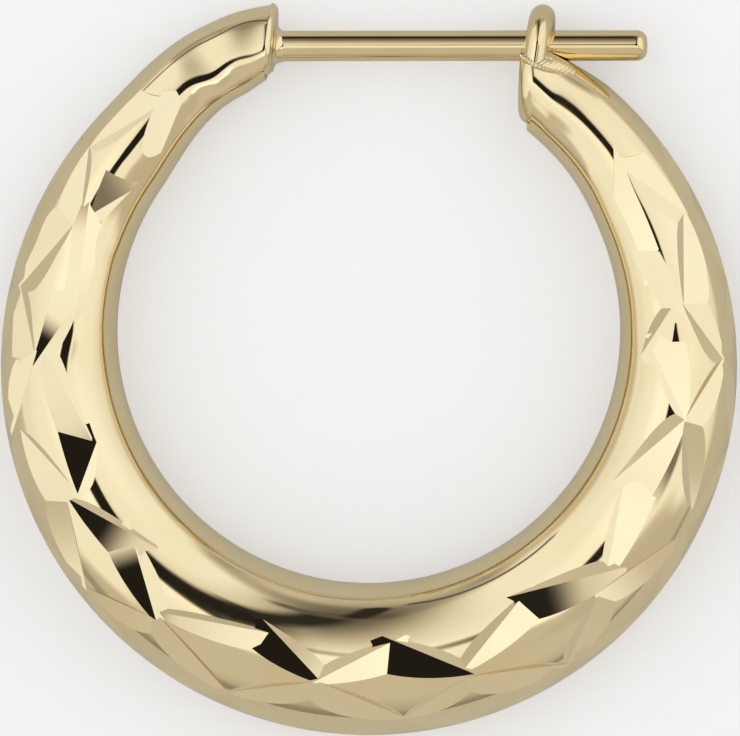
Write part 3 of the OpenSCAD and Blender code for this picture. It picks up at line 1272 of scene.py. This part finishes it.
@dataclass
class Studio:
    """A pale table, a soft white tent with a dark slit for the lens, and the camera.

    Directions are given in degrees right and up of the camera's axis, as reflections see
    them: the angle from the axis, shared out by its sine and cosine. Brightness is
    relative to the white of the tent.

    Attributes:
        camera_far: how far off the camera is, in metres; camera_sees is its nearest and farthest.
        middle_px: the pixel of the outline's middle.
        table_patches: how many of the board's faint patches a metre has.
        table_glow: how much it shines for camera rays alone, as the photo's background is white.
        seam: where the tent's light fades to the sides, in degrees, and what is left of it.
        tint_levels: the brightness that has the dim tint, and the one that has the lit tint.
        panels: what is in the tent, each over the one before.
    """

    shape: HoopShape
    rest: Rest
    chart: CutChart
    camera_far: float = 0.5
    camera_sees: tuple[float, float] = (0.01, 5.0)
    sensor: float = 36.0
    middle_px: tuple[float, float] = (368.4, 368.75)
    table_half: float = 0.6
    table_colours: tuple[str, str] = ("#DAD9D6", "#DDDCDA")
    table_patches: float = 40.0
    table_glow: float = 0.36
    tent_level: float = 1.04
    seam: tuple[float, float, float] = (76.0, 88.0, 0.6)
    tint_levels: tuple[float, float] = (0.6, 1.05)
    tint_dim: tuple[float, float, float, float] = (1.0, 0.955, 0.905, 1.0)
    tint_lit: tuple[float, float, float, float] = (0.97, 1.0, 1.06, 1.0)
    panels: tuple[Panel, ...] = (
        # The tent's front, towards the thick bottom of the hoop, gets less light
        Panel((-200, -160), 124, (200, -160), 124, 5, 0.62),
        Panel((-12, -50), 34, (26, -50), 34, 3, 0.64),
        Panel((-200, -200), 134, (200, -200), 134, 14, 0.50),
        Panel((22, -29), 8, (80, -42), 12, 4, 0.58),
        # Its back has a grey band along the top
        Panel((-40, 71), 8, (36, 71), 8, 7, 0.50),
        # A soft box on the left and one on the right, and the dimmer walls beyond them
        Panel((-15, 4), 5, (-24, 8), 8, 12, 1.26),
        Panel((24, 6), 5, (36, 24), 12, 12, 1.12),
        Panel((-72, -20), 6, (-66, 36), 12, 16, 0.92),
        Panel((78, -20), 8, (74, 40), 12, 16, 0.90),
        # The slit for the lens: a grey veil round it, its two parts, its head and the lens
        Panel((-3, 16), 0, (-6, 62), 19, 14, 0.16),
        Panel((-2, 10), 4.4, (2, 30), 3.4, 1.8, 0.02),
        Panel((2, 30), 3.4, (-1, 56), 5.0, 2.4, 0.03),
        Panel((-10, 60), 4.5, (8, 57), 3, 3, 0.12),
        Panel((-6, 60), 3.0, (-10, 73), 4.0, 1.5, 0.03),
        Panel((-1, 4.5), 7.5, (1, 5.0), 7.5, 1.2, 0.015),
        # The tent's frame to the right of the lens with a glint below it, and its rim on the left
        Panel((14, -3), 2.4, (24, -7), 3.4, 2.6, 0.22),
        Panel((2, -11), 2, (12, -18), 2.5, 2.0, 1.5),
        Panel((-20, 76), 1.8, (-54, 54), 1.8, 1.6, 0.10),
    )

    def axes(self) -> tuple[Array, Array, Array]:
        """The camera's right, up and back axes in the frame.

        Returns:
            Directions of length 1.
        """
        yaw = self.chart.yaw
        own = np.array([[math.cos(yaw), 0, -math.sin(yaw)], [0, 1, 0], [math.sin(yaw), 0, math.cos(yaw)]])
        return tuple(self.rest.turn(own))

    def camera(self) -> None:
        """A long lens that looks down at the earring as the photograph does."""
        right, up, back = self.axes()
        scale = self.shape.hoop_d / self.chart.outline_width * MM
        shift_x = (IMAGE_WIDTH / 2 - self.middle_px[0]) * scale
        shift_y = (self.middle_px[1] - IMAGE_HEIGHT / 2) * scale
        target = np.array([0, 0, self.rest.height * MM]) + right * shift_x + up * shift_y
        lens = bpy.data.cameras.new("camera")
        lens.sensor_width = self.sensor
        lens.lens = self.sensor * self.camera_far / (IMAGE_WIDTH * scale)
        lens.clip_start, lens.clip_end = self.camera_sees
        seat = bpy.data.objects.new("camera", lens)
        bpy.context.scene.collection.objects.link(seat)
        turn = Matrix((right, up, back)).transposed().to_4x4()
        turn.translation = Vector(target + back * self.camera_far)
        seat.matrix_world = turn
        bpy.context.scene.camera = seat

    def table(self) -> None:
        """A plain matt light table with the faintest unevenness, a little brighter for camera rays."""
        h = self.table_half
        points = np.array([[-h, -h, 0], [h, -h, 0], [h, h, 0], [-h, h, 0]], dtype=float)
        top = make_mesh("table", points, [[0, 1, 2, 3]])
        made = bpy.data.materials.new("table_matt_board")
        tree = clear_tree(made)
        place = add_node(tree, "TexCoord").outputs["Object"]
        patches = {"Vector": place, "Scale": self.table_patches, "Detail": 2.0}
        grain = add_node(tree, "TexNoise", patches).outputs[0]
        dark, light = (linear(colour) for colour in self.table_colours)
        mix = {"Factor": grain, COLOUR_A: dark, COLOUR_B: light}
        shade = add_node(tree, "Mix", mix, data_type="RGBA").outputs[COLOUR_OUT]
        straight = add_node(tree, "LightPath").outputs["Is Camera Ray"]
        glow = add_node(tree, "Math", {0: straight, 1: self.table_glow}, operation="MULTIPLY").outputs[0]
        shader = add_node(tree, "BsdfPrincipled", {
            "Base Color": shade, "Roughness": 0.9,
            "Emission Color": (1.0, 1.0, 1.0, 1.0), "Emission Strength": glow,
        })
        add_node(tree, "OutputMaterial", {"Surface": shader.outputs[0]})
        top.data.materials.append(made)

    def tent(self) -> None:
        """The tent's light, worked out from the direction alone: each panel mixed over the last."""
        world = bpy.data.worlds.new("tent")
        bpy.context.scene.world = world
        tree = clear_tree(world)
        way = add_node(tree, "TexCoord").outputs["Generated"]
        shares = [
            add_node(tree, "VectorMath", {0: way, 1: tuple(axis)}, operation="DOT_PRODUCT")
            for axis in self.axes()
        ]
        right, up, back = (share.outputs["Value"] for share in shares)
        turn = add_node(tree, "Math", {0: back}, operation="ARCCOSINE").outputs[0]
        angle = add_node(tree, "Math", {0: turn, 1: 180 / math.pi}, operation="MULTIPLY").outputs[0]
        flat = add_node(tree, "CombineXYZ", {0: right, 1: up}).outputs[0]
        ahead = add_node(tree, "VectorMath", {0: flat}, operation="NORMALIZE").outputs[0]
        place = add_node(tree, "VectorMath", {0: ahead, "Scale": angle}, operation="SCALE").outputs[0]

        level = self.tent_level
        for panel in self.panels:
            run = Vector((*panel.end, 0)) - Vector((*panel.start, 0))
            start = (*panel.start, 0)
            arm = add_node(tree, "VectorMath", {0: place, 1: start}, operation="SUBTRACT").outputs[0]
            step = run / run.length_squared
            along = add_node(tree, "VectorMath", {0: arm, 1: step}, operation="DOT_PRODUCT").outputs["Value"]
            part = add_node(tree, "Clamp", {0: along}).outputs[0]
            near = add_node(tree, "VectorMath", {0: run, "Scale": part}, operation="SCALE").outputs[0]
            gap = add_node(tree, "VectorMath", {0: arm, 1: near}, operation="DISTANCE").outputs["Value"]
            grow = {0: part, 1: panel.end_half - panel.start_half, 2: panel.start_half}
            half = add_node(tree, "Math", grow, operation="MULTIPLY_ADD").outputs[0]
            past = add_node(tree, "Math", {0: gap, 1: half}, operation="SUBTRACT").outputs[0]
            edge = {"Value": past, "From Min": panel.soft, "From Max": -panel.soft}
            inside = add_node(tree, "MapRange", edge, interpolation_type="SMOOTHSTEP").outputs[0]
            mixed = {0: inside, NUMBER_A: level, NUMBER_B: panel.level}
            level = add_node(tree, "Mix", mixed, data_type="FLOAT").outputs[NUMBER_OUT]
        low, high, left = self.seam
        fall = {"Value": angle, "From Min": low, "From Max": high, "To Min": 1.0, "To Max": left}
        rim = add_node(tree, "MapRange", fall, interpolation_type="SMOOTHSTEP").outputs[0]
        level = add_node(tree, "Math", {0: level, 1: rim}, operation="MULTIPLY").outputs[0]
        dim, lit = self.tint_levels
        share = add_node(tree, "MapRange", {"Value": level, "From Min": dim, "From Max": lit}).outputs[0]
        tints = {"Factor": share, COLOUR_A: self.tint_dim, COLOUR_B: self.tint_lit}
        tint = add_node(tree, "Mix", tints, data_type="RGBA").outputs[COLOUR_OUT]
        light = add_node(tree, "Background", {"Color": tint, "Strength": level})
        add_node(tree, "OutputWorld", {"Surface": light.outputs[0]})


def dress(piece: bpy.types.Object) -> None:
    """Rides a finished piece on the earring's one body, in place of its solid.

    Args:
        piece: the piece.
    """
    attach(piece, "root")
    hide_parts(NODE)
    log.info("%s: %d faces", piece.name, len(piece.data.polygons))


def write_sizes() -> None:
    """Updates the view layer, so that the placed pieces are current."""
    bpy.context.view_layer.update()


def main() -> None:
    """Builds the earring's pieces and the studio in order."""
    logging.basicConfig(level=logging.INFO, format="%(message)s")
    shape, chart, rest = HoopShape(), CutChart(), Rest()
    skin, cut, wire, solder = (f.value.material() for f in Finish)

    dress(HoopBody(shape, chart, rest).build((skin, cut, skin)))
    post = EarPost(shape, rest)
    dress(post.wire(wire))
    dress(post.solder(skin))
    dress(CatchLoop(rest).build(wire))
    for name, side in (("catch_solder_front", 1), ("catch_solder_back", -1)):
        dress(CatchSolder(rest).build(name, side, solder))

    studio = Studio(shape, rest, chart)
    studio.table()
    studio.tent()
    studio.camera()
    bpy.context.scene.view_settings.view_transform = "Standard"
    write_sizes()


if __name__ == "__main__":
    main()
